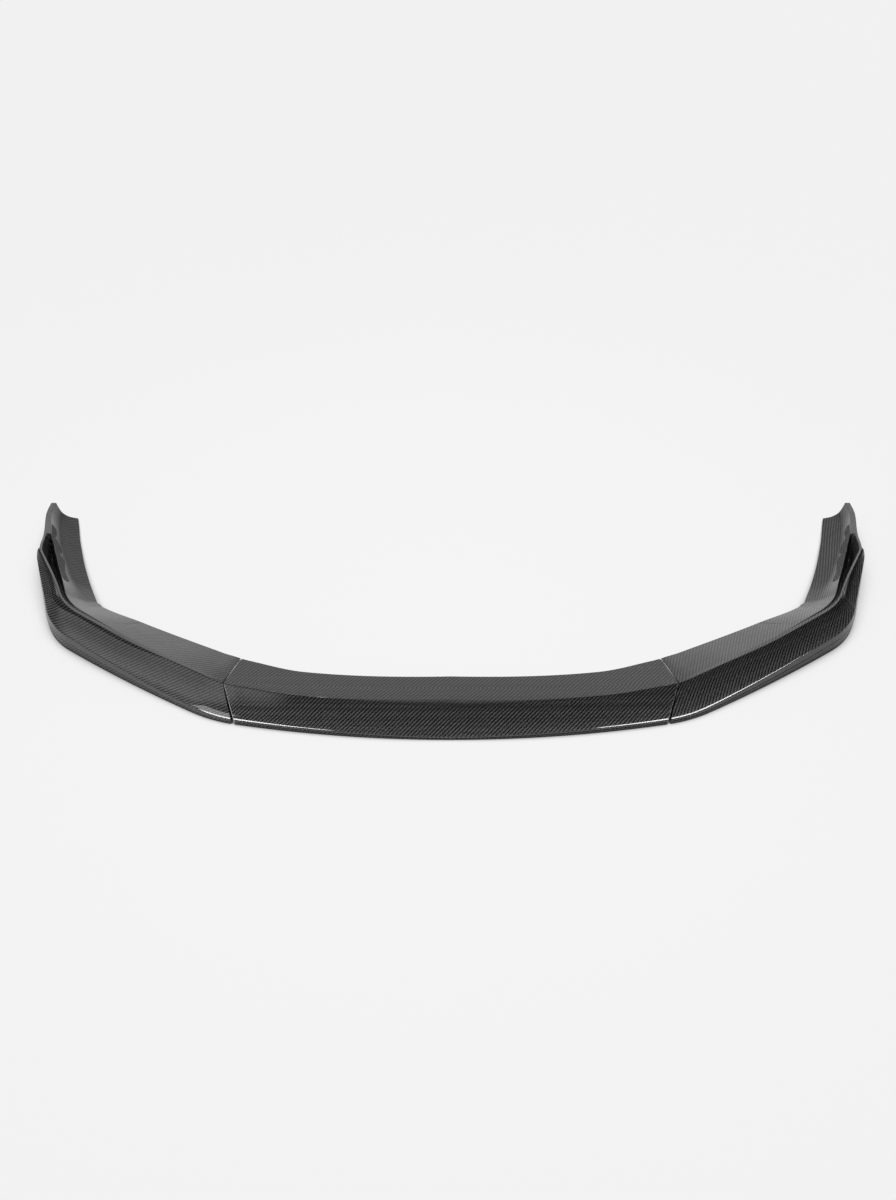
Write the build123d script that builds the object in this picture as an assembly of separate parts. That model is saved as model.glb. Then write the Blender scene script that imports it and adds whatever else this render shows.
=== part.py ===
from build123d import *
import math
import os

# Front splitter lip in three mouldings: a centre and two mirrored sides.
# Frame: X across, Y from the leading edge to the rear, Z up, floor at Z = 0.

# Overall, with the flat top of the centre flange and what is trimmed off to make it flat
depth = 620.0
wall = 2.5
flange_top = 55.0
flat_trim = 0.2

# Plan of the leading edge, one half: each bend has a radius and ends on a heading in degrees
front_radius = 2330.0
front_heading = 10.3
blend_radius = 300.0
shoulder_heading = 28.0
side_radius = 3000.0
corner_heading = 34.0
corner_radius = 150.0
arch_heading = 73.0

# Distances that set the stations: from the middle, then back from the rear tip
quarter = 200.0
inboard = 300.0
seam = 430.0
fin_setback = 158.0
fin_lead = 20.0
gutter_overlap = 44.0
band_length = 54.0
tip_cut = 36.0
overrun = 34.0
tip_width = 52.0

# Curves inside one section
land = 5.0
floor_start = 0.30
floor_stop = 0.60
hollow_along = 0.70
hollow_up = 0.28
bed_slope = 0.20
knee_along = 0.35
knee_up = 0.12

# Height of the strip's bottom edge
foot_fin = 20.0
foot_fin_end = 50.0
foot_rim = 27.0
foot_tail = 18.0

# How far the outer wall stands inward
inset_arch = 1.5
inset_fin_neck = 2.5
inset_fin_end = 5.0
inset_rim = 20.5
inset_back = 31.0
inset_tip = 45.0
inset_tail = 66.0

# Height of the strip's top edge
strip_middle = 9.0
strip_quarter = 13.0
strip_seam = 13.5
strip_shoulder = 17.0
strip_corner = 39.0
strip_arch = 43.0
strip_fin_end = 60.0
strip_rim = 36.0
strip_tail = 27.0

# Height of the bevel on the strip
bevel_seam = 4.0
bevel_shoulder = 6.0
bevel_corner = 14.0
bevel_arch = 15.0
bevel_fin_end = 4.0
bevel_tail = 4.0

# How far the bevel leans inward
lean_shoulder = 1.0
lean_corner = 4.0
lean_arch = 4.0
lean_fin_end = 0.5
lean_tail = 0.5

# Width of the hollow face
face_middle = 45.0
face_inboard = 46.0
face_seam = 51.5
face_shoulder = 52.0
face_flank = 42.3
face_corner = 42.0
face_arch = 35.0
face_fin_neck = 12.0
face_fin_end = 7.0
face_rim = 3.0
face_tail = 3.0

# Height of the crease
crease_shoulder = 58.0
crease_corner = 74.0
crease_arch = 75.0
crease_fin_end = 66.5
crease_rim = 57.5
crease_tip = 50.0
crease_tail = 49.0

# Width from the crease to the ridge
crown_middle = 7.0
crown_flank = 9.0
crown_corner = 11.0
crown_arch = 14.0
crown_fin = 20.5
crown_fin_end = 29.5
crown_rim = 16.0
crown_back = 11.5
crown_tail = 11.5

# Depth of the gutter
gutter_corner = 2.0
gutter_arch = 10.0
gutter_fin = 30.0
gutter_fin_end = 45.0
gutter_rear = 6.0

# Height of the ridge
ridge_shoulder = 56.7
ridge_corner = 72.3
ridge_arch = 71.5
ridge_fin_end = 60.0
ridge_rim = 56.0
ridge_tip = 50.0
ridge_tail = 49.0

# Width from the leading edge to the back of the flange
flange_middle = 113.0
flange_inboard = 106.0
flange_seam = 119.0
flange_shoulder = 123.0
flange_flank = 117.0
flange_corner = 109.5
flange_arch = 106.0
flange_fin = 97.3
flange_fin_end = 93.0
flange_rim = 92.5
flange_back = 95.5
flange_tail = 98.0

# Height of the back of the flange
inner_shoulder = 51.0
inner_corner = 32.0
inner_arch = 23.0
inner_fin_end = 12.0
inner_rim = 8.5
inner_tip = 3.0
inner_tail = 2.5

# Place of the flange's valley, as a share of the way from the ridge to the back
valley_middle = 0.6
valley_flank = 0.75
valley_arch = 0.84
valley_fin = 0.65
valley_fin_end = 0.52
valley_rim = 0.48
valley_tail = 0.46

# Depth of the valley, as a share of the deepest
sink_corner = 0.08
sink_arch = 0.55
sink_fin = 0.92
sink_tail = 0.92

# Seam cuts, as distances from the seam station, and the gaps left open
seam_foot = -10.5
seam_crease = 27.0
seam_back = 16.0
face_gap = 4.0
crease_gap = 2.0
flange_gap = 1.0

# Edges of a skin from the strip to the flange: 1 is a straight line, 2 a curve
skin_steps = (1, 1, 2, 1, 1, 1, 1, 2, 1)

# Facets of half the centre loft, and of the side loft from one main station to the next
centre_facets = 14
side_facets = (8, 5, 8, 6, 8, 5)


def leading_edge():
    """Plan curves of the leading edge from the middle to the start of the wheel arch."""
    front = JernArc((0, 0), (1, 0), front_radius, front_heading)
    blend = JernArc(front @ 1, front % 1, blend_radius, shoulder_heading - front_heading)
    side = JernArc(blend @ 1, blend % 1, side_radius, corner_heading - shoulder_heading)
    bend = JernArc(side @ 1, side % 1, corner_radius, arch_heading - corner_heading)
    return [front, blend, side, bend]


# Stations along the leading edge, measured from the middle
bends = leading_edge()
arch_spot = bends[-1] @ 1
arch_way = bends[-1] % 1
middle = 0.0
seam_end = seam + seam_crease
shoulder = bends[0].length + bends[1].length
corner = shoulder + bends[2].length
arch = corner + bends[3].length
flank = (shoulder + 2 * corner) / 3
tip = arch + (depth - arch_spot.Y - tip_width * arch_way.X) / arch_way.Y
fin_end = tip - fin_setback
fin_neck = fin_end - fin_lead
fin = (arch + fin_end) / 2
gutter_end = fin_end + gutter_overlap
rim = fin_end + band_length
back = tip - tip_cut
tail = tip + overrun
arch_line = Line(arch_spot, arch_spot + arch_way * (tail - arch + overrun))
edge_path = Wire([edge for curve in bends + [arch_line] for edge in curve.edges()])

# Section sizes by station: heights above the floor, widths inward from the leading edge
stock = flange_top + flat_trim
sizes = {
    "foot": {corner: 0.0, arch - fin_lead: 0.0, fin: foot_fin, fin_end: foot_fin_end, rim: foot_rim,
             tail: foot_tail},
    "inset": {corner: 0.0, arch: inset_arch, fin_neck: inset_fin_neck, fin_end: inset_fin_end,
              rim: inset_rim, back: inset_back, tip: inset_tip, tail: inset_tail},
    "strip": {middle: strip_middle, quarter: strip_quarter, seam: strip_seam, shoulder: strip_shoulder,
              corner: strip_corner, arch: strip_arch, fin_end: strip_fin_end, rim: strip_rim,
              tail: strip_tail},
    "bevel": {seam: bevel_seam, shoulder: bevel_shoulder, corner: bevel_corner, arch: bevel_arch,
              fin_end: bevel_fin_end, tail: bevel_tail},
    "lean": {seam: 0.0, shoulder: lean_shoulder, corner: lean_corner, arch: lean_arch,
             fin_end: lean_fin_end, tail: lean_tail},
    "face": {middle: face_middle, inboard: face_inboard, seam: face_seam, shoulder: face_shoulder,
             flank: face_flank, corner: face_corner, arch: face_arch, fin_neck: face_fin_neck,
             fin_end: face_fin_end, rim: face_rim, tail: face_tail},
    "crease": {middle: stock, seam_end: stock, shoulder: crease_shoulder, corner: crease_corner,
               arch: crease_arch, fin_end: crease_fin_end, rim: crease_rim, tip: crease_tip,
               tail: crease_tail},
    "crown": {middle: crown_middle, flank: crown_flank, corner: crown_corner, arch: crown_arch,
              fin: crown_fin, fin_end: crown_fin_end, rim: crown_rim, back: crown_back,
              tail: crown_tail},
    "gutter": {flank: 0.0, corner: gutter_corner, arch: gutter_arch, fin: gutter_fin,
               fin_end: gutter_fin_end, gutter_end: gutter_rear, rim: 0.0},
    "ridge": {middle: stock, seam_end: stock, shoulder: ridge_shoulder, corner: ridge_corner,
              arch: ridge_arch, fin_end: ridge_fin_end, rim: ridge_rim, tip: ridge_tip,
              tail: ridge_tail},
    "flange": {middle: flange_middle, inboard: flange_inboard, seam: flange_seam,
               shoulder: flange_shoulder, flank: flange_flank, corner: flange_corner, arch: flange_arch,
               fin: flange_fin, fin_end: flange_fin_end, rim: flange_rim, back: flange_back,
               tail: flange_tail},
    "inner": {middle: stock, seam_end: stock, shoulder: inner_shoulder, corner: inner_corner,
              arch: inner_arch, fin_end: inner_fin_end, rim: inner_rim, tip: inner_tip,
              tail: inner_tail},
    "valley": {middle: valley_middle, flank: valley_flank, arch: valley_arch, fin: valley_fin,
               fin_end: valley_fin_end, rim: valley_rim, tail: valley_tail},
    "sink": {flank: 0.0, corner: sink_corner, arch: sink_arch, fin: sink_fin, tail: sink_tail},
}


def at(law, run):
    """Size at a station: a smooth curve without overshoot through the stations that are given."""
    runs = sorted(law)
    run = min(max(run, runs[0]), runs[-1])
    rates = [(law[high] - law[low]) / (high - low) for low, high in zip(runs, runs[1:])]
    slopes = [rates[0]]
    for before, after in zip(rates, rates[1:]):
        slopes.append(2 * before * after / (before + after) if before * after > 0 else 0.0)
    slopes.append(rates[-1])
    i = max(j for j in range(len(rates)) if runs[j] <= run)
    span = runs[i + 1] - runs[i]
    t = (run - runs[i]) / span
    value = law[runs[i]] * (1 + 2 * t) * (1 - t) ** 2 + law[runs[i + 1]] * t * t * (3 - 2 * t)
    return value + span * (slopes[i] * t * (1 - t) ** 2 - slopes[i + 1] * t * t * (1 - t))


def place(run, along, height=0.0, hand=1):
    """Point of a section: inward from the leading edge and above the floor."""
    spot = edge_path.position_at(run, position_mode=PositionMode.LENGTH)
    way = edge_path.tangent_at(run, position_mode=PositionMode.LENGTH)
    return Vector(hand * (spot.X - way.Y * along), spot.Y + way.X * along - depth / 2, height)


def between(a, b, share=0.5):
    """Point at a share of the way from a to b."""
    return (a[0] + (b[0] - a[0]) * share, a[1] + (b[1] - a[1]) * share)


def toward(a, b, amount):
    """Point at a distance from a on the way to b."""
    return between(a, b, amount / math.dist(a, b))


def skin(run):
    """Control points of the outer skin: strip, bevel, hollow face, land, gutter, ridge, flange."""
    size = {name: at(law, run) for name, law in sizes.items()}
    low = (size["inset"], size["foot"])
    lip = (size["inset"] + size["lean"], size["strip"])
    brow = (size["inset"], lip[1] - size["bevel"])
    top = (size["inset"] + size["face"], size["crease"])
    over = (top[0] + size["crown"], size["ridge"])
    end = (size["flange"], size["inner"])
    dip = (between(lip, top, hollow_along)[0], between(lip, top, hollow_up)[1])
    crest = toward(top, over, land)
    floor = [between(crest, over, share) for share in (floor_start, floor_stop)]
    floor = [(across, height - size["gutter"]) for across, height in floor]
    line_bed = between(over, end, size["valley"])
    deep_bed = (line_bed[0], end[1] + bed_slope * (end[0] - line_bed[0]))
    bed = between(line_bed, deep_bed, size["sink"])
    knee = (between(over, bed, knee_along)[0], between(bed, over, knee_up)[1])
    bend = between(between(over, bed), knee, size["sink"])
    return [low, brow, lip, dip, top, crest, *floor, over, bend, bed, end]


def inside(points):
    """The same control points moved inward by the wall."""
    ways = []
    for a, b in zip(points, points[1:]):
        span = math.dist(a, b)
        ways.append(((b[0] - a[0]) / span, (b[1] - a[1]) / span))
    moved = []
    for i, point in enumerate(points):
        u = ways[max(i - 1, 0)]
        v = ways[min(i, len(ways) - 1)]
        stretch = wall / (1 + u[0] * v[0] + u[1] * v[1])
        moved.append((point[0] + (u[1] + v[1]) * stretch, point[1] - (u[0] + v[0]) * stretch))
    return moved


def skin_edges(row):
    """Edges of one skin: each takes the next one or two control points, as a line or a curve."""
    edges = []
    start = 0
    for step in skin_steps:
        points = row[start:start + step + 1]
        edges.append(Edge.make_bezier(*points) if step == 2 else Edge.make_line(*points))
        start += step
    return edges


def section(run, hand=1):
    """Closed section of the moulding at one station."""
    points = skin(run)
    outer = [place(run, *point, hand) for point in points]
    under = [place(run, *point, hand) for point in inside(points)]
    caps = [Edge.make_line(outer[-1], under[-1]), Edge.make_line(outer[0], under[0])]
    return Wire(skin_edges(outer) + caps + skin_edges(under))


def spread(start, end, steps):
    """Evenly spaced stations."""
    return [start + (end - start) * i / steps for i in range(steps + 1)]


def seam_block(height, foot_gap=0.0, top_gap=0.0, back_gap=0.0):
    """Upright block that holds everything between the two seams, up to a height."""
    def spot(shift, gap, width):
        run = seam + shift
        return place(run + gap, at(sizes[width], run) if width else 0.0)

    foot = spot(seam_foot, foot_gap, None)
    top = spot(seam_crease, top_gap, "face")
    heel = spot(seam_back, back_gap, "flange")
    half = [foot + (foot - top), foot, top, heel, heel + (heel - top)]
    plan = [(p.X, p.Y) for p in half] + [(-p.X, p.Y) for p in reversed(half)]
    return extrude(make_face(Polyline(*plan, close=True)), amount=height)


def make_centre():
    """Centre moulding, cut to length at both seams and flat on top."""
    runs = spread(middle, seam_end + overrun, centre_facets)
    left = [section(run, -1) for run in reversed(runs[1:])]
    right = [section(run) for run in runs]
    return Part() + Solid.make_loft(left + right, ruled=True) & seam_block(flange_top)


def make_side():
    """Side moulding on the +X side: face, fin, gutter, flange and rear rim."""
    runs = [seam + seam_foot - 2 * overrun]
    for end, facets in zip((shoulder, corner, arch, fin_neck, rim, tail), side_facets):
        runs += spread(runs[-1], end, facets)[1:]
    body = Part() + Solid.make_loft([section(run) for run in runs], ruled=True)
    body -= seam_block(depth, face_gap, crease_gap, flange_gap)
    beyond = Box(2 * depth, depth, depth, align=(Align.CENTER, Align.MIN, Align.CENTER))
    return body - Pos(depth, depth / 2, 0) * beyond


centre_lip = make_centre()
left_side_lip = make_side()
right_side_lip = mirror(left_side_lip, about=Plane.YZ)

os.makedirs("parts", exist_ok=True)
export_step(centre_lip, "parts/centre_lip.step")
export_step(left_side_lip, "parts/left_side_lip.step")
export_step(right_side_lip, "parts/right_side_lip.step")
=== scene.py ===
import math

import bpy
import numpy as np
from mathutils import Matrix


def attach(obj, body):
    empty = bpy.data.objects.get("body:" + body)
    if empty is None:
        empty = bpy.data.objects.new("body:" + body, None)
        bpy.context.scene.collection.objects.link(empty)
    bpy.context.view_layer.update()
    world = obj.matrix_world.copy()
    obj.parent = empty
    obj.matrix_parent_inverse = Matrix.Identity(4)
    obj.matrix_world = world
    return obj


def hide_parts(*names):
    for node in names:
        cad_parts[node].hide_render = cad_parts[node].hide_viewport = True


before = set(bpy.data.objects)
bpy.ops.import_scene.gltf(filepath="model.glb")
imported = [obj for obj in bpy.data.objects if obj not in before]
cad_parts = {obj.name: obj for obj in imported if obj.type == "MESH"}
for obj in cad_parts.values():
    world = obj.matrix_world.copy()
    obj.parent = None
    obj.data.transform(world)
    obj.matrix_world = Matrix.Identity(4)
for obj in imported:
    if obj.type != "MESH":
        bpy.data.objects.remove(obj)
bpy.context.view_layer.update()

bl_info = {
    "name": "Front splitter lip",
    "version": (1, 0, 0),
    "blender": (4, 5, 0),
    "location": "View3D > Sidebar > Splitter",
    "description": "Centre and side mouldings of a front splitter lip in clear-coated twill laminate",
    "category": "Object",
}

MM = 0.001

# Plan of the leading edge, one half, in millimetres: radius of each bend and the heading it ends on
BENDS = ((2330.0, 10.3), (300.0, 28.0), (3000.0, 34.0), (150.0, 73.0))
DEPTH = 620.0
WALL = 2.5

# Curves inside one section
FLOOR_SHARES = (0.30, 0.60)
HOLLOW_ALONG = 0.70
HOLLOW_UP = 0.28
BED_SLOPE = 0.20
KNEE_ALONG = 0.35
KNEE_UP = 0.12

# Groove under the bevel of the strip, and the narrow sill along the bottom of the face
GROOVE_HEIGHT = 2.2
SILL_SLOPE = math.tan(math.radians(12.0))

# Rounded corners: largest share of an edge that one takes, and its size inside against outside
LONGEST_SETBACK = 0.45
INNER_ROUND = 0.6
SHARP_ANGLE = math.radians(32.0)

# Depth in metres at which the clear coat in the gutter is fully dull
SHADE_DEPTH = 0.010

# Seam cuts, as distances from the seam station: leading edge, crease, back of the flange
SEAM = 430.0
SEAM_SHIFTS = (-10.5, 27.0, 16.0)
SEAM_GAPS = (5.5, 3.0, 1.5)
NO_GAPS = (0.0, 0.0, 0.0)

# Where the cuts are looked for, and how often the search is halved
SEAM_SEARCH = (330.0, 560.0)
REAR_SPARE = 60.0
HALVINGS = 28


class LeadingEdge:
    """Plan of the leading edge: four bends and a straight wheel arch, measured along its run."""

    def __init__(self):
        self.starts = [0.0]
        self.curves = []
        self.headings = [0.0]
        self.spots = [(0.0, 0.0)]
        for radius, heading in BENDS:
            self.add_bend(1 / radius, math.radians(heading))
        self.curves.append(0.0)
        self.shoulder, self.corner, self.arch = self.starts[2:]

    def add_bend(self, curve, heading):
        """Goes on from the last spot with one arc."""
        before = self.headings[-1]
        x, y = self.spots[-1]
        self.curves.append(curve)
        self.starts.append(self.starts[-1] + (heading - before) / curve)
        self.spots.append((x + (math.sin(heading) - math.sin(before)) / curve,
                           y - (math.cos(heading) - math.cos(before)) / curve))
        self.headings.append(heading)

    def piece_at(self, run):
        """Bend that a run lies on: its number, heading at its start, curve and length up to the run."""
        piece = np.clip(np.searchsorted(self.starts, run, side="right") - 1, 0, len(self.curves) - 1)
        ahead = run - np.array(self.starts)[piece]
        return piece, np.array(self.headings)[piece], np.array(self.curves)[piece], ahead

    def heading(self, run):
        """Way of the edge in plan, in radians."""
        _, before, curve, ahead = self.piece_at(run)
        return before + curve * ahead

    def spot(self, run):
        """Plan position on the edge."""
        piece, before, curve, ahead = self.piece_at(run)
        half = curve * ahead / 2
        chord = ahead * np.sinc(half / math.pi)
        start = np.array(self.spots)[piece]
        return start[..., 0] + chord * np.cos(before + half), start[..., 1] + chord * np.sin(before + half)

    def inward(self, run, across):
        """Plan position at a distance inward from the edge."""
        x, y = self.spot(run)
        way = self.heading(run)
        return x - np.sin(way) * across, y + np.cos(way) * across - DEPTH / 2


EDGE = LeadingEdge()

# Distances that set the stations: back from the rear tip, or on from the end of the fin
TIP_WIDTH = 52.0
FIN_SETBACK = 158.0
FIN_LEAD = 20.0
GUTTER_RUN = 44.0
RIM_RUN = 54.0
BACK_SETBACK = 36.0
TAIL_RUN = 34.0

# Stations along the leading edge
MIDDLE = 0.0
QUARTER = 200.0
INBOARD = 300.0
SEAM_END = SEAM + SEAM_SHIFTS[1]
SHOULDER = EDGE.shoulder
CORNER = EDGE.corner
ARCH = EDGE.arch
FLANK = (SHOULDER + 2 * CORNER) / 3
BEND = (CORNER + ARCH) / 2
ARCH_WAY = EDGE.headings[-1]
TIP = ARCH + (DEPTH - EDGE.spots[-1][1] - TIP_WIDTH * math.cos(ARCH_WAY)) / math.sin(ARCH_WAY)
FIN_END = TIP - FIN_SETBACK
FIN_NECK = FIN_END - FIN_LEAD
FIN = (ARCH + FIN_END) / 2
GUTTER_END = FIN_END + GUTTER_RUN
RIM = FIN_END + RIM_RUN
BACK = TIP - BACK_SETBACK
TAIL = TIP + TAIL_RUN

# Section sizes by station: heights above the floor, widths inward from the leading edge. The last five
# are plain factors: place and depth of the valley, softness of the crease, dull coat on flange and crease
SIZES = {
    "foot": {CORNER: 0, ARCH - FIN_LEAD: 0, FIN: 20, FIN_END: 50, RIM: 27, TAIL: 18},
    "inset": {CORNER: 0, ARCH: 1.5, FIN_NECK: 2.5, FIN_END: 5, RIM: 20.5, BACK: 31, TIP: 45, TAIL: 66},
    "strip": {MIDDLE: 9, QUARTER: 13, SEAM: 13.5, SHOULDER: 17, CORNER: 39, ARCH: 43, FIN_END: 60,
              RIM: 36, TAIL: 27},
    "bevel": {SEAM: 4, SHOULDER: 6, CORNER: 14, ARCH: 15, FIN_END: 4, TAIL: 4},
    "lean": {SEAM: 0, SHOULDER: 1, CORNER: 4, ARCH: 4, FIN_END: 0.5, TAIL: 0.5},
    "face": {MIDDLE: 45, INBOARD: 46, SEAM: 51.5, SHOULDER: 52, FLANK: 42.3, CORNER: 42, ARCH: 35,
             FIN_NECK: 12, FIN_END: 7, RIM: 3, TAIL: 3},
    "crease": {MIDDLE: 55, SEAM_END: 55, SHOULDER: 58, CORNER: 74, ARCH: 75, FIN_END: 66.5, RIM: 57.5,
               TIP: 50, TAIL: 49},
    "land": {MIDDLE: 26, INBOARD: 18, SEAM_END: 5, TAIL: 5},
    "crown": {MIDDLE: 40, INBOARD: 28, SEAM_END: 7.5, FLANK: 9, CORNER: 11, ARCH: 14, FIN: 20.5,
              FIN_END: 29.5, RIM: 16, BACK: 11.5, TAIL: 11.5},
    "gutter": {FLANK: 0, CORNER: 2, ARCH: 10, FIN: 30, FIN_END: 45, GUTTER_END: 14, RIM: 0},
    "ridge": {MIDDLE: 55, SEAM_END: 55, SHOULDER: 56.7, CORNER: 72.3, ARCH: 71.5, FIN_END: 60, RIM: 56,
              TIP: 50, TAIL: 49},
    "flange": {MIDDLE: 113, INBOARD: 106, SEAM: 119, SHOULDER: 123, FLANK: 117, CORNER: 109.5,
               BEND: 110.5, ARCH: 106, FIN: 97.3, FIN_END: 93, RIM: 92.5, BACK: 95.5, TAIL: 98},
    "inner": {MIDDLE: 55, SEAM_END: 55, SHOULDER: 51, CORNER: 30, ARCH: 24.5, FIN_END: 12, RIM: 8.5,
              TIP: 3, TAIL: 2.5},
    "sill": {MIDDLE: 1.2, QUARTER: 2.0, SEAM: 3.8, SHOULDER: 3.2, FLANK: 1.0, ARCH: 0.8, TAIL: 0.8},
    "valley": {MIDDLE: 0.6, FLANK: 0.75, ARCH: 0.84, FIN: 0.65, FIN_END: 0.52, RIM: 0.48, TAIL: 0.46},
    "sink": {FLANK: 0, CORNER: 0.08, ARCH: 0.55, FIN: 0.92, TAIL: 0.92},
    "softness": {MIDDLE: 18.0, QUARTER: 5.0, INBOARD: 1.0, TAIL: 1.0},
    "dullness": {CORNER: 0.0, ARCH: 0.25, FIN: 0.72, TAIL: 0.76},
    "matt_crease": {QUARTER: 0.0, INBOARD: 0.9, TAIL: 0.9},
}

# One skin as edges: control points that each takes on, and the points it is drawn with
SKIN_EDGES = ((1, 5), (1, 2), (1, 2), (1, 4), (1, 3), (2, 24),
              (1, 3), (1, 6), (1, 4), (1, 6), (2, 18), (1, 8))
ROUND_POINTS = 4
BEVEL_EDGES = 3
STRIP_EDGES = 4
CREASE_EDGES = 6
CREST_EDGES = 7
FACE_EDGES = 10
BED_EDGES = 11
CREASE_CORNER = 5

# Rows of the mesh between the main stations
SIDE_ROWS = (34, 40, 40, 36, 44, 34)
CENTRE_ROWS = 176

# How far the cloth keeps its own way round the bends: not on the strip, partly on the face, on the flange
CLOTH_TURNS = (0.0, 0.64, 1.0)
CLOTH_STEPS = 3000
CENTRE_WAY = 0.0
SIDE_WAY = math.radians(31.0)

# Material slots of a moulding; the last carries the centre's ends, painted pale as a painted highlight
SKIN_SLOT, BACK_SLOT, EDGE_SLOT, END_SLOT = range(4)


def size_at(name, runs):
    """A size along the edge: a smooth curve without overshoot through its stations."""
    stations = np.array(sorted(SIZES[name]))
    values = np.array([SIZES[name][station] for station in stations], dtype=float)
    runs = np.clip(runs, stations[0], stations[-1])
    spans = np.diff(stations)
    rates = np.diff(values) / spans
    product = rates[:-1] * rates[1:]
    total = np.where(product > 0, rates[:-1] + rates[1:], 1.0)
    slopes = np.concatenate(([rates[0]], np.where(product > 0, 2 * product / total, 0.0), [rates[-1]]))
    i = np.clip(np.searchsorted(stations, runs, side="right") - 1, 0, len(spans) - 1)
    t = (runs - stations[i]) / spans[i]
    value = values[i] * (1 + 2 * t) * (1 - t) ** 2 + values[i + 1] * t * t * (3 - 2 * t)
    return value + spans[i] * (slopes[i] * t * (1 - t) ** 2 - slopes[i + 1] * t * t * (1 - t))


def between(a, b, share=0.5):
    """Points at a share of the way from a to b."""
    return a + (b - a) * (share[:, None] if np.ndim(share) else share)


def skin(runs, groove_depth=0.0):
    """Control points of the outer skin, from the strip over the face and the gutter to the flange."""
    size = {name: size_at(name, runs) for name in SIZES}

    def point(across, height):
        return np.stack((across, height), axis=1)

    low = point(size["inset"], size["foot"])
    lip = point(size["inset"] + size["lean"], size["strip"])
    brow = point(size["inset"], lip[:, 1] - size["bevel"])
    groove = brow + np.array((groove_depth, -GROOVE_HEIGHT / 2))
    ledge = brow - np.array((0.0, GROOVE_HEIGHT))
    sill = lip + point(size["sill"], size["sill"] * SILL_SLOPE)
    top = point(size["inset"] + size["face"], size["crease"])
    over = point(top[:, 0] + size["crown"], size["ridge"])
    end = point(size["flange"], size["inner"])
    dip = point(between(lip, top, HOLLOW_ALONG)[:, 0], between(lip, top, HOLLOW_UP)[:, 1])
    crest = between(top, over, size["land"] / np.linalg.norm(over - top, axis=1))
    drop = point(0 * size["gutter"], size["gutter"])
    floor = [between(crest, over, share) - drop for share in FLOOR_SHARES]
    line_bed = between(over, end, size["valley"])
    deep_bed = point(line_bed[:, 0], end[:, 1] + BED_SLOPE * (end[:, 0] - line_bed[:, 0]))
    bed = between(line_bed, deep_bed, size["sink"])
    knee = point(between(over, bed, KNEE_ALONG)[:, 0], between(bed, over, KNEE_UP)[:, 1])
    bend = between(between(over, bed), knee, size["sink"])
    front = (low, ledge, groove, brow, lip, sill, dip, top)
    return np.stack((*front, crest, *floor, over, bend, bed, end), axis=1)


def inside(points):
    """The same control points moved inward by the wall."""
    ways = np.diff(points, axis=1)
    ways /= np.linalg.norm(ways, axis=2, keepdims=True)
    before = np.concatenate((ways[:, :1], ways), axis=1)
    after = np.concatenate((ways, ways[:, -1:]), axis=1)
    stretch = WALL / (1 + (before * after).sum(axis=2))
    both = before + after
    return points + np.stack((both[..., 1], -both[..., 0]), axis=2) * stretch[..., None]


def on_curve(points, t):
    """Points of a straight or curved edge: points (K, 2 or 3, 2), t (K, N)."""
    t = t[..., None]
    a, b = points[:, None, 0], points[:, None, -1]
    if points.shape[1] == 2:
        return a + (b - a) * t
    c = points[:, None, 1]
    return a * (1 - t) ** 2 + c * 2 * t * (1 - t) + b * t * t


def rounded(points, rounds, trim):
    """One skin drawn with rounded corners. Ends stop short by the trim."""
    edges = []
    first = 0
    for taken, count in SKIN_EDGES:
        edges.append((points[:, first:first + taken + 1], count))
        first += taken
    setbacks = [np.full(len(points), trim), *rounds, np.full(len(points), trim)]
    drawn = []
    for i, (edge, count) in enumerate(edges):
        pace = edge.shape[1] - 1
        head = np.linalg.norm(edge[:, 1] - edge[:, 0], axis=1) * pace
        foot = np.linalg.norm(edge[:, -1] - edge[:, -2], axis=1) * pace
        start = np.minimum(setbacks[i] / head, LONGEST_SETBACK)
        stop = 1 - np.minimum(setbacks[i + 1] / foot, LONGEST_SETBACK)
        t = start[:, None] + (stop - start)[:, None] * np.linspace(0, 1, count)
        drawn.append(on_curve(edge, t))
    turns = np.arange(1, ROUND_POINTS + 1) / (ROUND_POINTS + 1)
    row = [drawn[0]]
    for i, following in enumerate(drawn[1:]):
        corner = edges[i][0][:, -1]
        arc = np.stack((row[-1][:, -1], corner, following[:, 0]), axis=1)
        row.append(on_curve(arc, np.broadcast_to(turns, (len(points), ROUND_POINTS))))
        row.append(following)
    return np.concatenate(row, axis=1)


def last_column(edges):
    """Column where a number of edges of the skin have been drawn."""
    return sum(count for _, count in SKIN_EDGES[:edges]) + ROUND_POINTS * (edges - 1) - 1


BROW_COLUMN = last_column(BEVEL_EDGES)
LIP_COLUMN = last_column(STRIP_EDGES)
CREASE_COLUMN = last_column(CREASE_EDGES)
CREST_COLUMN = last_column(CREST_EDGES)
RIDGE_COLUMN = last_column(FACE_EDGES)
BED_COLUMN = last_column(BED_EDGES)
COLUMNS = last_column(len(SKIN_EDGES)) + 1
RING = 2 * COLUMNS + 4
LID_FACES = COLUMNS + 1


def partner(k):
    """Point of the ring on the other side of the wall."""
    return (2 * COLUMNS + 1 - k) % RING


def cloth_reach(row):
    """Distances across the cloth for its three zones: height, and lengths from the lip and the ridge."""
    steps = np.linalg.norm(np.diff(row, axis=1), axis=2)
    length = np.concatenate((np.zeros((len(row), 1)), np.cumsum(steps, axis=1)), axis=1)
    lip = length - length[:, LIP_COLUMN, None] + row[:, LIP_COLUMN, None, 1]
    ridge = length - length[:, RIDGE_COLUMN, None] + row[:, RIDGE_COLUMN, None, 0]
    return np.stack((row[..., 1], lip, ridge), axis=2)


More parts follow.
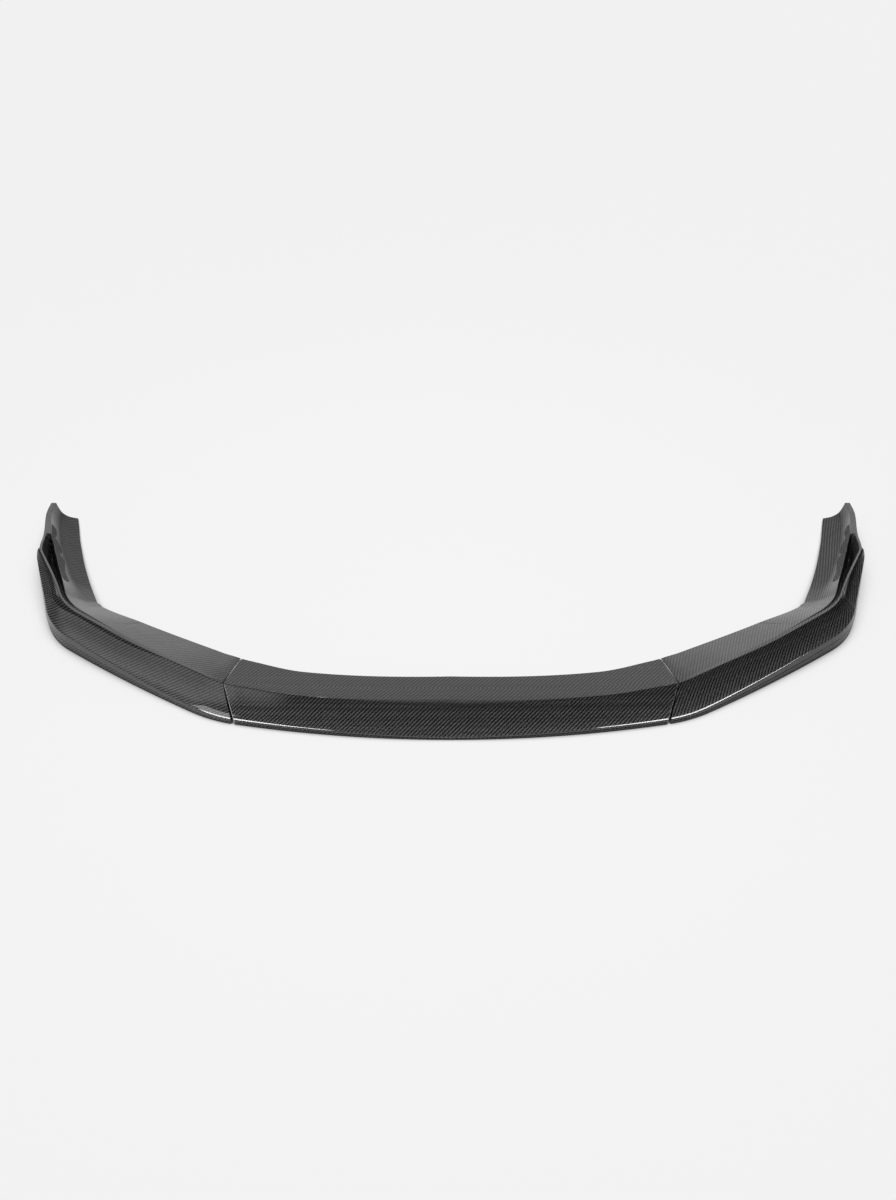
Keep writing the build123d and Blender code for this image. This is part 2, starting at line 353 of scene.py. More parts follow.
def sections(runs, edges):
    """Closed sections with eased edges: ring points (K, RING, 2) and cloth distances (K, RING, 3)."""
    points = skin(runs, edges.groove / MM)
    rounds = edges.rounds(runs)
    ease = edges.ease / MM
    outer = rounded(points, rounds, ease)
    under = inside(skin(runs))
    inner = rounded(under, [INNER_ROUND * size for size in rounds], ease)
    shares = (ease / WALL, 1 - ease / WALL)
    back = np.stack([between(points[:, -1], under[:, -1], share) for share in shares], axis=1)
    front = np.stack([between(under[:, 0], points[:, 0], share) for share in shares], axis=1)
    ring = np.concatenate((outer, back, inner[:, ::-1], front), axis=1)
    reach_out = cloth_reach(outer)
    reach_in = cloth_reach(inner)
    reach = np.concatenate((reach_out, reach_out[:, -1:], reach_in[:, -1:],
                            reach_in[:, ::-1], reach_in[:, :1], reach_out[:, :1]), axis=1)
    return ring, reach


def ring_row(runs, edges):
    """One row of the mesh, each column at its own run: plan and height, section and cloth distances."""
    ring, reach = sections(np.abs(runs), edges)
    own = np.arange(RING)
    across, height = ring[own, own].T
    x, y = EDGE.inward(np.abs(runs), across)
    side = np.where(runs < 0, -1.0, 1.0)
    return np.stack((side * x, y, height), axis=1), across, reach[own, own]


def find_cut(beyond, low, high, edges):
    """Run of every column where it meets a cut, by halving."""
    low = np.full(RING, low)
    high = np.full(RING, high)
    for _ in range(HALVINGS):
        middle = (low + high) / 2
        far = beyond(ring_row(middle, edges)[0])
        low = np.where(far, low, middle)
        high = np.where(far, middle, high)
    return (low + high) / 2


def seam_cut(gaps, edges):
    """Runs of a ring on the seam, which is bent at the crease."""
    corners = []
    for shift, gap, width in zip(SEAM_SHIFTS, gaps, (None, "face", "flange")):
        run = np.array([SEAM + shift])
        across = size_at(width, run) if width else np.zeros(1)
        corners.append(np.concatenate(EDGE.inward(run + gap, across)))
    foot, top, heel = np.array(corners)
    x, y = np.array((foot + (foot - top), foot, top, heel, heel + (heel - top))).T
    return find_cut(lambda spots: spots[:, 0] > np.interp(spots[:, 1], y, x), *SEAM_SEARCH, edges)


def ear_cut(edges):
    """Runs of a ring at the end of the centre, with a round corner at the back of the flange."""
    runs = seam_cut(NO_GAPS, edges)
    across = ring_row(runs, edges)[1]
    radius = edges.ear_radius / MM
    beyond = np.clip(across - (size_at("flange", runs) - radius), 0, radius)
    return runs - (radius - np.sqrt(radius ** 2 - beyond ** 2))


def cloth_table(turn, way):
    """Developed path of the cloth along the edge, which turns by a share of the heading."""
    runs = np.linspace(0, TAIL + REAR_SPARE, CLOTH_STEPS)
    lean = turn * (EDGE.heading(runs) - way)
    steps = np.diff(runs)
    u = np.concatenate(([0], np.cumsum(np.cos(lean[1:]) * steps)))
    v = np.concatenate(([0], np.cumsum(np.sin(lean[1:]) * steps)))
    return runs, u, v


def cloth_spots(runs, reach, way):
    """Places on the cloth in metres for each zone: (3, rows, RING, 2)."""
    side = np.where(runs < 0, -1.0, 1.0)
    zones = []
    for zone, turn in enumerate(CLOTH_TURNS):
        table, u, v = cloth_table(turn, way)
        lean = turn * (EDGE.heading(np.abs(runs)) - way)
        along = side * (np.interp(np.abs(runs), table, u) - reach[..., zone] * np.sin(lean))
        up = np.interp(np.abs(runs), table, v) + reach[..., zone] * np.cos(lean)
        zones.append(np.stack((along, up), axis=-1) * MM)
    return np.stack(zones)


def coat_shade(spots, runs):
    """How dull the clear coat is, from 0 to 1: deep in the gutter, on the crease and on the rear flange."""
    shade = np.zeros(runs.shape)
    gutter = spots[:, CREST_COLUMN:RIDGE_COLUMN + 1, 2]
    share = np.linspace(0, 1, gutter.shape[1])
    rim = gutter[:, :1] * (1 - share) + gutter[:, -1:] * share
    shade[:, CREST_COLUMN:RIDGE_COLUMN + 1] = np.clip((rim - gutter) / SHADE_DEPTH, 0, 1)
    for name, first, last in (("matt_crease", CREASE_COLUMN, CREASE_COLUMN + ROUND_POINTS),
                              ("dullness", RIDGE_COLUMN + 1, COLUMNS - 1)):
        shade[:, first:last + 1] = size_at(name, np.abs(runs[:, first:last + 1]))
    shade[:, RIDGE_COLUMN + 1:BED_COLUMN] *= np.linspace(0, 1, BED_COLUMN - RIDGE_COLUMN - 1) ** 3
    return shade


def point_layers(spots, runs):
    """Layers of the points that the laminate reads: dull coat, level skin behind the crease that takes
    painted shade, bevel that takes a painted sheen.
    """
    columns = np.arange(RING)
    level = (columns > CREASE_COLUMN) & (columns < COLUMNS)
    bevel = (columns > BROW_COLUMN) & (columns <= LIP_COLUMN)
    return {"shade": coat_shade(spots, runs), "level": np.broadcast_to(level, runs.shape),
            "bevel": np.broadcast_to(bevel, runs.shape)}


def skin_faces(grid):
    """Quads between the rows of the mesh, then the lids across the wall at both ends."""
    following = np.roll(grid, -1, axis=1)
    quads = np.stack((grid[:-1], grid[1:], following[1:], following[:-1]), axis=2)
    ends = np.concatenate(([RING - 1], np.arange(COLUMNS)))
    beyond = (ends + 1) % RING
    corners = (ends, beyond, partner(beyond), partner(ends))
    first, last = (np.stack([row[corner] for corner in corners], axis=1) for row in (grid[0], grid[-1]))
    return np.concatenate((quads.reshape(-1, 4), first, last[:, ::-1]))


def weave_places(cloth):
    """Places on the cloth of the quads' corners, by the zone of each column, then nothing for the lids."""
    columns = np.arange(RING)
    zone = np.where(columns < LIP_COLUMN, 0, np.where(columns < RIDGE_COLUMN, 1, 2))
    zone = np.where(columns > COLUMNS, zone[np.clip(partner(columns) - 1, 0, None)], zone)
    zone[RING - 3:] = 0
    spans = cloth.shape[1] - 1
    loops = []
    for row, roll in ((0, 0), (1, 0), (1, -1), (0, -1)):
        part = np.roll(cloth, roll, axis=2)[zone, :, columns]
        loops.append(part.transpose(1, 0, 2)[row:row + spans])
    return np.concatenate((np.stack(loops, axis=2).reshape(-1, 4, 2), np.zeros((2 * LID_FACES, 4, 2))))


def face_slots(rows, end_slot):
    """Material slots of the faces, with one of its own for the end rows of the face."""
    ring = np.full(RING, EDGE_SLOT)
    ring[:COLUMNS - 1] = SKIN_SLOT
    ring[COLUMNS + 2:2 * COLUMNS + 1] = BACK_SLOT
    slots = np.tile(ring, (rows - 1, 1))
    slots[[0, -1], :CREASE_COLUMN] = end_slot
    return np.concatenate((slots.ravel(), np.full(2 * LID_FACES, max(end_slot, EDGE_SLOT))))


def moulding(name, runs, edges, way, materials, ease, end_slot, mirrored=False):
    """Mesh object of one moulding from a grid of runs. Its two end rows are eased."""
    rows = [ring_row(row, edges) for row in runs]
    spots = np.stack([row[0] for row in rows]) * MM
    cloth = cloth_spots(runs, np.stack([row[2] for row in rows]), way)
    opposite = partner(np.arange(RING))
    share = np.broadcast_to(ease / MM / WALL, RING)[:, None]
    for end in (0, -1):
        spots[end] += (spots[end][opposite] - spots[end]) * share
    if mirrored:
        spots[..., 0] *= -1
        cloth[..., 0] *= -1
    faces = skin_faces(np.arange(runs.size).reshape(runs.shape))
    places = weave_places(cloth)
    if mirrored:
        faces = faces[:, ::-1]
        places = places[:, ::-1]

    mesh = bpy.data.meshes.new(name)
    mesh.from_pydata(spots.reshape(-1, 3).tolist(), [], faces.tolist())
    mesh.uv_layers.new(name="weave").data.foreach_set("uv", places.astype(np.float32).ravel())
    for layer, values in point_layers(spots, runs).items():
        data = mesh.attributes.new(layer, "FLOAT", "POINT").data
        data.foreach_set("value", values.astype(np.float32).ravel())
    for material in materials:
        mesh.materials.append(material)
    mesh.polygons.foreach_set("material_index", face_slots(len(runs), end_slot).astype(np.int32))
    mesh.polygons.foreach_set("use_smooth", np.ones(len(faces), dtype=bool))
    mesh.set_sharp_from_angle(angle=SHARP_ANGLE)
    mesh.validate()
    piece = bpy.data.objects.new(name, mesh)
    bpy.context.scene.collection.objects.link(piece)
    return piece


def side_runs(edges):
    """Runs of the mesh rows of a side, from the seam to the cut at the rear."""
    start = seam_cut(SEAM_GAPS, edges)
    stop = find_cut(lambda spots: spots[:, 1] > DEPTH / 2, BACK - REAR_SPARE, TAIL + REAR_SPARE, edges)
    marks = [start.mean(), SHOULDER, CORNER, ARCH, FIN_NECK, RIM, stop.mean()]
    bases = [np.linspace(low, high, rows, endpoint=False)
             for low, high, rows in zip(marks, marks[1:], SIDE_ROWS)]
    shares = (np.concatenate(bases) - marks[0]) / (marks[-1] - marks[0])
    ease = edges.ease / MM
    body = start + ease + (stop - start - 2 * ease) * np.append(shares, 1.0)[:, None]
    return np.concatenate((start[None], body, stop[None]))


def end_bevel(edges):
    """Bevel of the centre's ends by column: wide on the face, fine on the flange."""
    columns = np.arange(RING)
    return np.where(np.minimum(columns, partner(columns)) < CREASE_COLUMN, edges.end, edges.ease)


def centre_runs(edges):
    """Runs of the mesh rows of the centre, from seam to seam."""
    stop = ear_cut(edges)
    body = (stop - end_bevel(edges) / MM) * np.linspace(-1, 1, CENTRE_ROWS)[:, None]
    return np.concatenate((-stop[None], body, stop[None]))


class Value:
    """A number from a shader node. Arithmetic on it adds Math nodes."""

    def __init__(self, shader, socket):
        self.shader = shader
        self.socket = socket

    def math(self, operation, *values):
        return self.shader.add("ShaderNodeMath", {"operation": operation}, dict(enumerate(values)))

    def __add__(self, other):
        return self.math("ADD", self, other)

    def __sub__(self, other):
        return self.math("SUBTRACT", self, other)

    def __rsub__(self, other):
        return self.math("SUBTRACT", other, self)

    def __mul__(self, other):
        return self.math("MULTIPLY", self, other)

    def __mod__(self, other):
        return self.math("FLOORED_MODULO", self, other)

    def __lt__(self, other):
        return self.math("LESS_THAN", self, other)

    __radd__ = __add__
    __rmul__ = __mul__

    def floor(self):
        return self.math("FLOOR", self)

    def size(self):
        return self.math("ABSOLUTE", self)

    def above_zero(self):
        return self.math("MAXIMUM", self, 0.0)


class Shader:
    """Node tree of one material or of the world."""

    def __init__(self, owner):
        self.owner = owner
        owner.use_nodes = True
        self.tree = owner.node_tree
        self.tree.nodes.clear()

    def add(self, kind, settings=None, sockets=None, output=0):
        """Adds a node: its settings first, then the values or links of its sockets."""
        node = self.tree.nodes.new(kind)
        for name, value in (settings or {}).items():
            if name == "stops":
                self.set_stops(node.color_ramp.elements, value)
            else:
                setattr(node, name, value)
        for key, value in (sockets or {}).items():
            if isinstance(value, Value):
                self.tree.links.new(value.socket, node.inputs[key])
            else:
                node.inputs[key].default_value = value
        return Value(self, node.outputs[output]) if node.outputs else None

    def set_stops(self, elements, stops):
        """Stops of a ramp as pairs of a place and a colour."""
        while len(elements) < len(stops):
            elements.new(1.0)
        for element, (place, colour) in zip(elements, stops):
            element.position = place
            element.color = colour

    def mix(self, factor, a, b):
        """Blend of two colours."""
        return self.add("ShaderNodeMix", {"data_type": "RGBA"}, {0: factor, 6: a, 7: b}, 2)

    def vary(self, factor, tone, spread):
        """A grey that goes up and down by a share of its tone."""
        return self.mix(factor, grey(tone * (1 - spread)), grey(tone * (1 + spread)))

    def layer(self, name):
        """Values of one of the mesh's point layers."""
        return self.add("ShaderNodeAttribute", {"attribute_name": name}, None, 2)

    def axes(self, vector, *numbers):
        """Some of a vector's three parts."""
        return [self.add("ShaderNodeSeparateXYZ", None, {0: vector}, number) for number in numbers]

    def relief(self, depth, height):
        """Normal of a surface with a fine relief."""
        return self.add("ShaderNodeBump", None, {"Strength": 1.0, "Distance": depth, "Height": height})

    def soft_step(self, value, low, high):
        """Smooth rise from 0 to 1."""
        return self.add("ShaderNodeMapRange", {"interpolation_type": "SMOOTHSTEP"},
                        {"Value": value, "From Min": low, "From Max": high})

    def rays(self):
        """Masks of the kinds of rays: straight, mirrored, refracted and scattered."""
        path = self.add("ShaderNodeLightPath").socket.node.outputs
        return [Value(self, path[name])
                for name in ("Is Camera Ray", "Is Glossy Ray", "Is Transmission Ray", "Is Diffuse Ray")]

    def finish(self, kind, surface):
        """Adds the output and gives back the material or the world."""
        self.add(kind, None, {"Surface": surface})
        return self.owner


def grey(level):
    """A neutral colour with alpha."""
    return (level, level, level, 1.0)


# Cloth: how the tows wander and dive under each other, how their tones differ, and the gaps between them
WANDER_SCALE = 14.0
DRIFT = 0.5
DIVE = 0.75
LIGHT_SPREAD = 0.25
DARK_SPREAD = 0.30
GAP_HEIGHT = 0.3
GAP_STRENGTH = 0.6
GAP_TONE = 0.003

# Laminate: painted shade that evens out the cloth on level skin, against the sheen tows; cover of the
# bevel's tone with its painted sheen; gloss under the coat; dull coat
FLANGE_SHADE_TONE = 0.15
BEVEL_COVER = 0.8
CLOTH_SPECULAR = 0.12
DULL_COAT = 0.95
COAT_IOR = 1.5

# Underside: tones of its tows, the crosswise one lighter as a painted sheen, and of the dust on it, and its
# relief against the outside
BACK_SHEEN_TOWS = (0.035, 0.018)
BACK_DUST = 0.05
BACK_RELIEF = 1.5

# Cut edges: size of the streaks and how their tones differ
STREAK_SCALE = 900.0
STREAK_SPREAD = 0.3


def twill(shader, tow):
    """Two-by-two twill from the cloth's own places: lengthwise tows on top, height, tow tones, wander."""
    place = shader.add("ShaderNodeUVMap", {"uv_map": "weave"})
    wander = shader.add("ShaderNodeTexNoise", {"noise_dimensions": "2D"},
                        {"Vector": place, "Scale": WANDER_SCALE, "Detail": 2.0, "Roughness": 0.5})
    along, up = shader.axes(place, 0, 1)
    drift = (wander - 0.5) * DRIFT
    u = along * (1 / tow) + drift
    v = up * (1 / tow) - drift
    column = u.floor()
    row = v.floor()
    lengthwise = ((column - row) % 4.0) < 2.0
    across_warp = (u - column) * 2.0 - 1.0
    across_weft = (v - row) * 2.0 - 1.0
    dive_warp = (v - column + 1.0) % 4.0 - 1.0
    dive_weft = (u - row - 2.0) % 4.0 - 1.0
    warp = (1.0 - across_warp * across_warp) * (1.0 - DIVE * (dive_warp * dive_warp))
    weft = (1.0 - across_weft * across_weft) * (1.0 - DIVE * (dive_weft * dive_weft))
    height = (weft + lengthwise * (warp - weft)).above_zero()
    own_tow = shader.add("ShaderNodeCombineXYZ", None, {
        0: column * lengthwise, 1: row * (1.0 - lengthwise), 2: lengthwise})
    tone = shader.add("ShaderNodeTexWhiteNoise", {"noise_dimensions": "3D"}, {"Vector": own_tow})
    return lengthwise, height, tone, wander


def laminate_material(name, look):
    """Clear-coated twill: lengthwise and crosswise tows of two tones under a smooth gloss. The lighter tone
    of the crosswise tows is a painted sheen.
    """
    shader = Shader(bpy.data.materials.new(name))
    lengthwise, height, tone, wander = twill(shader, look.tow_width)
    # Painted sheen: the crosswise tows are painted lighter than the near-black lengthwise tows, for the
    # light the fibre catches.
    light = shader.vary(tone, look.sheen_tow, LIGHT_SPREAD)
    dark = shader.vary(tone, look.dark_tow, DARK_SPREAD)
    cloth = shader.mix(lengthwise, light, dark)
    gaps = shader.mix((GAP_HEIGHT - height).above_zero() * GAP_STRENGTH, cloth, grey(GAP_TONE))
    # Painted shade: where the skin lies level behind the crease, the weave is evened out towards a darker
    # flat tone, for how the light falls on it.
    flange_shade = shader.mix(shader.layer("level") * look.flange_shade, gaps, grey(look.sheen_tow * FLANGE_SHADE_TONE))
    shade = shader.layer("shade")
    surface = shader.add("ShaderNodeBsdfPrincipled", None, {
        # The bevel is smooth, without weave; its lighter tone is a painted sheen for the light the leaning
        # bevel catches.
        "Base Color": shader.mix(shader.layer("bevel") * BEVEL_COVER, flange_shade, grey(look.bevel_tone_and_sheen)),
        "Roughness": 0.34 + 0.16 * lengthwise + 0.08 * wander + 0.2 * shade,
        "Normal": shader.relief(look.weave_depth, height),
        "Specular IOR Level": CLOTH_SPECULAR,
        "Coat Weight": 1.0 - DULL_COAT * shade,
        "Coat Roughness": look.coat_roughness,
        "Coat IOR": COAT_IOR})
    return shader.finish("ShaderNodeOutputMaterial", surface)


def back_material(name, look):
    """Underside: the same twill, uncoated, with dull resin between the tows. Its crosswise tows are painted
    lighter as a painted sheen.
    """
    shader = Shader(bpy.data.materials.new(name))
    lengthwise, height, tone, wander = twill(shader, look.tow_width)
    # Painted sheen: the crosswise tows are painted lighter than the lengthwise ones.
    cloth = shader.mix(lengthwise, *map(grey, BACK_SHEEN_TOWS))
    surface = shader.add("ShaderNodeBsdfPrincipled", None, {
        "Base Color": shader.mix(wander * 0.5, cloth, grey(BACK_DUST)),
        "Roughness": 0.55 + 0.2 * tone,
        "Normal": shader.relief(look.weave_depth * BACK_RELIEF, height)})
    return shader.finish("ShaderNodeOutputMaterial", surface)


def edge_material(name, tone):
    """Cut edge of the laminate, with streaks of its plies."""
    shader = Shader(bpy.data.materials.new(name))
    place = shader.add("ShaderNodeTexCoord", None, None, 3)
    streaks = shader.add("ShaderNodeTexNoise", None, {"Vector": place, "Scale": STREAK_SCALE, "Detail": 3.0})
    surface = shader.add("ShaderNodeBsdfPrincipled", None, {
        "Base Color": shader.vary(streaks, tone, STREAK_SPREAD), "Roughness": 0.5 + 0.3 * streaks})
    return shader.finish("ShaderNodeOutputMaterial", surface)


def laminate_set(look):
    """Materials of a moulding in the order of its slots, made once."""
    makers = {"coated_twill": lambda name: laminate_material(name, look),
              "bare_twill": lambda name: back_material(name, look),
              "sanded_edge": lambda name: edge_material(name, look.edge_tone),
              # Painted highlight: the centre's end edges are painted pale for the light they catch, over the
              # streaks of the plies.
              "pale_end": lambda name: edge_material(name, look.end_highlight_tone)}
    return [bpy.data.materials.get(name) or make(name) for name, make in makers.items()]


def dress(piece, node):
    """Puts a moulding in the place of its CAD node."""
    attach(piece, "root")
    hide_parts(node)


def length_size(name, description, default):
    """A length that a user can change."""
    return bpy.props.FloatProperty(name=name, description=description, default=default, min=0.0,
                                   unit="LENGTH", precision=5)


def level_size(name, description, default):
    """A tone or the strength of a light that a user can change."""
    return bpy.props.FloatProperty(name=name, description=description, default=default, min=0.0, precision=3)


def share_size(name, description, default):
    """A share from 0 to 1 that a user can change."""
    return bpy.props.FloatProperty(name=name, description=description, default=default, min=0.0, max=1.0,
                                   subtype="FACTOR")


class SplitterEdges(bpy.types.PropertyGroup):
    """How far the mouldings' corners are eased."""
    ease: length_size("Edge easing", "Bevel on the cut edges", 0.0005)
    groove: length_size("Groove", "Depth of the groove under the bevel of the strip", 0.0013)
    line: length_size("Groove edges", "Easing at the edges of the groove", 0.0003)
    lip: length_size("Lip", "Easing between the strip and the sill", 0.0012)
    sill: length_size("Sill", "Easing between the sill and the face", 0.0005)
    crease: length_size("Crease", "Easing at the top of the face", 0.0006)
    crest: length_size("Crest", "Easing between the land and the gutter", 0.0014)
    gutter: length_size("Gutter", "Easing at the bottom of the gutter", 0.0030)
    ridge: length_size("Ridge", "Easing between the gutter and the flange", 0.0014)
    bed: length_size("Valley", "Easing at the bottom of the flange's valley", 0.0120)
    end: length_size("Ends", "Bevel on the ends of the centre", 0.0012)
    ear_radius: length_size("Ear radius", "Round corners at the back of the centre flange", 0.0080)

    def rounds(self, runs):
        """Setbacks of the skin's corners in order, in millimetres, with a softer crease on the centre."""
        sizes = (self.line, self.line, self.line, self.lip, self.sill, self.crease, self.crest,
                 self.gutter, self.gutter, self.ridge, self.bed)
        setbacks = [np.full(len(runs), size / MM) for size in sizes]
        setbacks[CREASE_CORNER] = setbacks[CREASE_CORNER] * size_at("softness", runs)
        return setbacks


class SplitterLaminate(bpy.types.PropertyGroup):
    """Cloth and clear coat."""
    tow_width: length_size("Tow width", "Width of one tow of the twill", 0.0020)
    weave_depth: length_size("Weave depth", "Height of the weave's relief", 0.00008)
    # Painted sheen: the crosswise tows' tone stands for the light the black fibre catches.
    sheen_tow: level_size("Light tows", "Tone of the crosswise tows", 0.085)
    dark_tow: level_size("Dark tows", "Tone of the lengthwise tows", 0.003)
    # Painted shade: how far the weave on level skin is evened out towards a darker flat tone.
    flange_shade: share_size("Calm flange", "How far resin evens out the cloth where it lies level", 0.5)
    # Painted sheen: the bevel's smooth tone is made lighter for the light it catches.
    bevel_tone_and_sheen: level_size("Bevel", "Tone of the smooth bevel of the strip", 0.10)
    edge_tone: level_size("Cut edge", "Tone of the sanded edges", 0.020)
    # Painted highlight: the pale tone of the centre's end edges stands for the light they catch.
    end_highlight_tone: level_size("Pale end", "Tone of the centre's end edges", 0.65)
    coat_roughness: share_size("Coat roughness", "Roughness of the clear coat", 0.05)


class SplitterStage(bpy.types.PropertyGroup):
    """Floor, lights and camera."""
    floor_tone: level_size("Floor tone", "Tone of the pale floor", 0.905)
    shadow: share_size("Shadow", "How much of the floor's tone is shaded", 0.05)
    shadow_reach: length_size("Shadow reach", "How far round the object the floor darkens", 0.15)
    room: level_size("Room light", "Level of the dim light from all round", 0.08)
    back_wall: level_size("Back wall", "Level of the white wall behind", 1.5)
    fill: level_size("Fill", "Level of the pale wall on the right side", 1.5)
    key_box: level_size("Key", "Radiance of the box over the middle", 10.5)
    left_box: level_size("Left soft box", "Radiance of the box above the left side", 22.0)
    right_box: level_size("Right soft box", "Radiance of the box above the right side", 22.0)
    front_box: level_size("Front soft box", "Radiance of the small box in front", 4.0)
    lens: bpy.props.FloatProperty(name="Lens", description="Focal length on a 36 mm high picture",
                                  default=40.92)
    tilt: bpy.props.FloatProperty(name="Tilt", description="Angle of the camera from straight down",
                                  default=math.radians(44.0), subtype="ANGLE")
    camera_place: bpy.props.FloatVectorProperty(name="Camera place", description="Where the camera stands",
                                                default=(-0.0057, -1.9245, 2.0561), subtype="TRANSLATION")


class SPLITTER_OT_add_centre(bpy.types.Operator):
    """Make the centre moulding"""
    bl_idname = "splitter.add_centre"
    bl_label = "Centre moulding"

    def execute(self, context):
        edges = context.scene.splitter_edges
        materials = laminate_set(context.scene.splitter_laminate)
        runs = centre_runs(edges)
        piece = moulding("centre_moulding", runs, edges, CENTRE_WAY, materials, end_bevel(edges), END_SLOT)
        dress(piece, "centre_lip")
        return {"FINISHED"}


class SPLITTER_OT_add_sides(bpy.types.Operator):
    """Make the two side mouldings"""
    bl_idname = "splitter.add_sides"
    bl_label = "Side mouldings"

    def execute(self, context):
        edges = context.scene.splitter_edges
        materials = laminate_set(context.scene.splitter_laminate)
        runs = side_runs(edges)
        for name, mirrored in (("left_side", False), ("right_side", True)):
            piece = moulding(f"{name}_moulding", runs, edges, SIDE_WAY, materials, edges.ease, SKIN_SLOT,
                             mirrored)
            dress(piece, f"{name}_lip")
        return {"FINISHED"}


# Soft boxes overhead: left, right, front and back edges, and height. The key lights the cloth and shows
# in no reflection, and the others show only in reflections
KEY = "key_box"
SOFT_BOXES = {
    KEY: (-0.3, 0.3, -0.3, 0.3, 1.25),
    "left_box": (0.76, 1.92, 0.3, 1.2, 3.0),
    "right_box": (-1.25, -0.6, 0.3, 1.2, 3.0),
    "front_box": (-1.70, -1.28, -0.55, 0.30, 3.0),
}

# Floor: half its side, mottling, how open it lies where it is black and where it is pale, how much more
# open that is in reflections, and what its scattered light loses
FLOOR_REACH = 9.0
MOTTLE_SCALE = 3.0
MOTTLE_SPREAD = 0.01
BLACK_FLOOR = 0.30
PALE_FLOOR = 0.72
BLACK_MORE = 0.15
PALE_MORE = 0.20
SOFT_LOSS = 0.3

# Where the floor fades out of reflections: beyond the sides and the front, and over which distance
FADE_SIDES = 0.86
FADE_FRONT = -0.30
SIDE_PACE = 2.5
FADE_RANGE = (0.10, 0.30)

# Walls by the way of the view: the back wall's range and tones from level to straight up, the side wall's
# range, and where it dims sideways and backward
BACK_RANGE = (0.36, 0.62)
BACK_TONES = ((0.0, 0.6), (0.2, 0.75), (0.4, 1.0), (0.5, 1.0), (0.66, 0.88), (0.77, 0.48))
SIDE_RANGE = (0.34, 0.52)
DIM_ASIDE = 0.5
DIM_ASIDE_RANGE = (0.55, 0.9)
DIM_BACK = 0.9
DIM_BACK_RANGE = (0.0, 0.3)


def add_box(name, left, right, front, back, height, radiance):
    """Level soft box overhead, given by its edges."""
    lamp = bpy.data.lights.new(name, "AREA")
    lamp.shape = "RECTANGLE"
    lamp.size = right - left
    lamp.size_y = back - front
    lamp.energy = radiance * math.pi * lamp.size * lamp.size_y
    box = bpy.data.objects.new(name, lamp)
    box.location = ((left + right) / 2, (front + back) / 2, height)
    box.visible_glossy = name != KEY
    box.visible_diffuse = name == KEY
    bpy.context.scene.collection.objects.link(box)


def floor_material(stage):
    """Pale floor that keeps a faint shadow, and fades out of reflections at the sides and in front."""
    shader = Shader(bpy.data.materials.new("pale_floor"))
    straight, mirrored, through, soft = shader.rays()
    mottle = shader.add("ShaderNodeTexNoise", None, {"Scale": MOTTLE_SCALE, "Detail": 1.0})
    open_sky = shader.add("ShaderNodeAmbientOcclusion", {"samples": 12},
                          {"Distance": stage.shadow_reach}, 1)
    reached = shader.add("ShaderNodeMapRange", None, {
        "Value": open_sky, "From Min": BLACK_FLOOR + BLACK_MORE * mirrored,
        "From Max": PALE_FLOOR + PALE_MORE * mirrored})
    across, along = shader.axes(shader.add("ShaderNodeNewGeometry"), 0, 1)
    away = (across.size() - FADE_SIDES).above_zero() * SIDE_PACE + (FADE_FRONT - along).above_zero()
    faded = shader.soft_step(away, *FADE_RANGE) * mirrored
    pale = shader.vary(mottle, stage.floor_tone, MOTTLE_SPREAD)
    colour = shader.mix(reached * (1.0 - faded) * (1.0 - soft * SOFT_LOSS), grey(0.0), pale)
    shaded = shader.add("ShaderNodeBsdfDiffuse", None, {"Color": colour})
    glow = shader.add("ShaderNodeEmission", None, {"Color": colour, "Strength": 1.0})
    seen = (straight + mirrored + through) * (1 - stage.shadow)
    surface = shader.add("ShaderNodeMixShader", None, {0: seen, 1: shaded, 2: glow})
    return shader.finish("ShaderNodeOutputMaterial", surface)


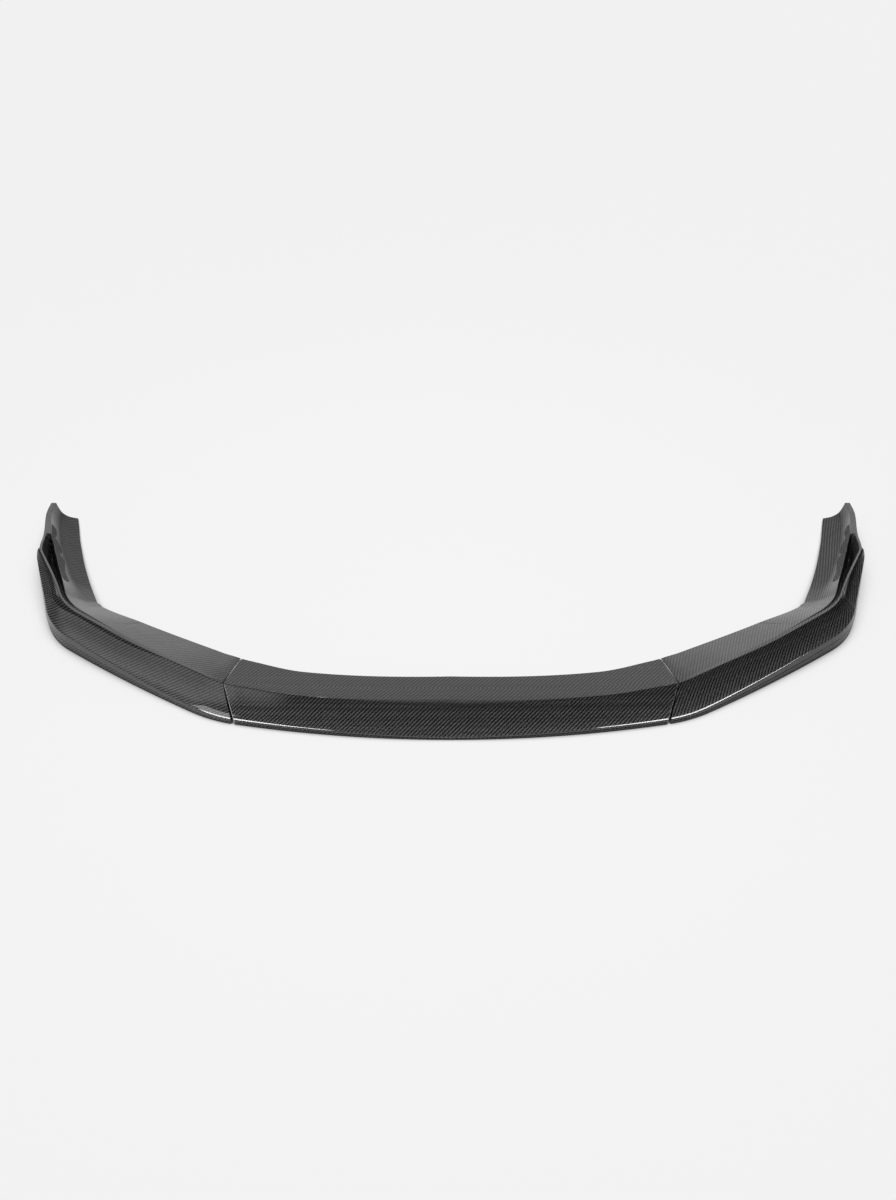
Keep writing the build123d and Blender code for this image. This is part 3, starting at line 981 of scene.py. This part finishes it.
class SPLITTER_OT_set_stage(bpy.types.Operator):
    """Make the floor, the lights and the camera"""
    bl_idname = "splitter.set_stage"
    bl_label = "Stage"

    def execute(self, context):
        stage = context.scene.splitter_stage
        self.add_floor(stage)
        self.light_room(context.scene, stage)
        for name, edges in SOFT_BOXES.items():
            add_box(name, *edges, getattr(stage, name))
        self.add_camera(context.scene, stage)
        context.scene.view_settings.view_transform = "Standard"
        return {"FINISHED"}

    def add_floor(self, stage):
        """Wide level floor."""
        mesh = bpy.data.meshes.new("floor")
        signs = ((-1, -1), (1, -1), (1, 1), (-1, 1))
        mesh.from_pydata([(x * FLOOR_REACH, y * FLOOR_REACH, 0) for x, y in signs], [], [(0, 1, 2, 3)])
        mesh.materials.append(floor_material(stage))
        floor = bpy.data.objects.new("floor", mesh)
        bpy.context.scene.collection.objects.link(floor)

    def light_room(self, scene, stage):
        """Dim room with a pale wall behind and one at the side. The camera sees the floor's tone."""
        scene.world = scene.world or bpy.data.worlds.new("room")
        shader = Shader(scene.world)
        straight = shader.rays()[0]
        across, behind, up = shader.axes(shader.add("ShaderNodeTexCoord"), 0, 1, 2)
        backward = shader.soft_step(behind, *BACK_RANGE)
        stops = [(height, grey(tone)) for height, tone in BACK_TONES]
        wall = backward * stage.back_wall * shader.add("ShaderNodeValToRGB", {"stops": stops}, {0: up})
        aside = 0 - across
        dim_aside = 1.0 - DIM_ASIDE * shader.soft_step(aside, *DIM_ASIDE_RANGE)
        dim_back = 1.0 - DIM_BACK * shader.soft_step(behind, *DIM_BACK_RANGE)
        side_wall = shader.soft_step(aside, *SIDE_RANGE) * dim_aside * dim_back * (1.0 - backward)
        total = wall + side_wall * stage.fill + stage.room
        light = shader.add("ShaderNodeCombineColor", None, {0: total, 1: total, 2: total})
        colour = shader.mix(straight, light, grey(stage.floor_tone * (1 - stage.shadow / 2)))
        surface = shader.add("ShaderNodeBackground", None, {"Color": colour, "Strength": 1.0})
        shader.finish("ShaderNodeOutputWorld", surface)

    def add_camera(self, scene, stage):
        """Camera at the height and angle of the picture."""
        lens = bpy.data.cameras.new("camera")
        lens.sensor_fit = "VERTICAL"
        lens.sensor_height = 36.0
        lens.lens = stage.lens
        camera = bpy.data.objects.new("camera", lens)
        camera.location = stage.camera_place
        camera.rotation_euler = (stage.tilt, 0.0, 0.0)
        scene.collection.objects.link(camera)
        scene.camera = camera


class SPLITTER_PT_sidebar(bpy.types.Panel):
    """Sizes, finishes and steps of the splitter lip"""
    bl_idname = "SPLITTER_PT_sidebar"
    bl_label = "Front splitter lip"
    bl_space_type = "VIEW_3D"
    bl_region_type = "UI"
    bl_category = "Splitter"

    def draw(self, context):
        for group in [getattr(context.scene, name) for name in GROUPS]:
            box = self.layout.box()
            for name in group.bl_rna.properties.keys():
                if name not in ("rna_type", "name"):
                    box.prop(group, name)
        for operator in OPERATORS:
            self.layout.operator(operator.bl_idname)


GROUPS = {
    "splitter_edges": SplitterEdges,
    "splitter_laminate": SplitterLaminate,
    "splitter_stage": SplitterStage,
}
OPERATORS = (SPLITTER_OT_add_centre, SPLITTER_OT_add_sides, SPLITTER_OT_set_stage)
CLASSES = (*GROUPS.values(), *OPERATORS, SPLITTER_PT_sidebar)


def register():
    for kind in CLASSES:
        bpy.utils.register_class(kind)
    for name, group in GROUPS.items():
        setattr(bpy.types.Scene, name, bpy.props.PointerProperty(type=group))


def unregister():
    for name in GROUPS:
        delattr(bpy.types.Scene, name)
    for kind in reversed(CLASSES):
        bpy.utils.unregister_class(kind)


def main():
    register()
    bpy.ops.splitter.add_centre()
    bpy.ops.splitter.add_sides()
    bpy.ops.splitter.set_stage()


if __name__ == "__main__":
    main()
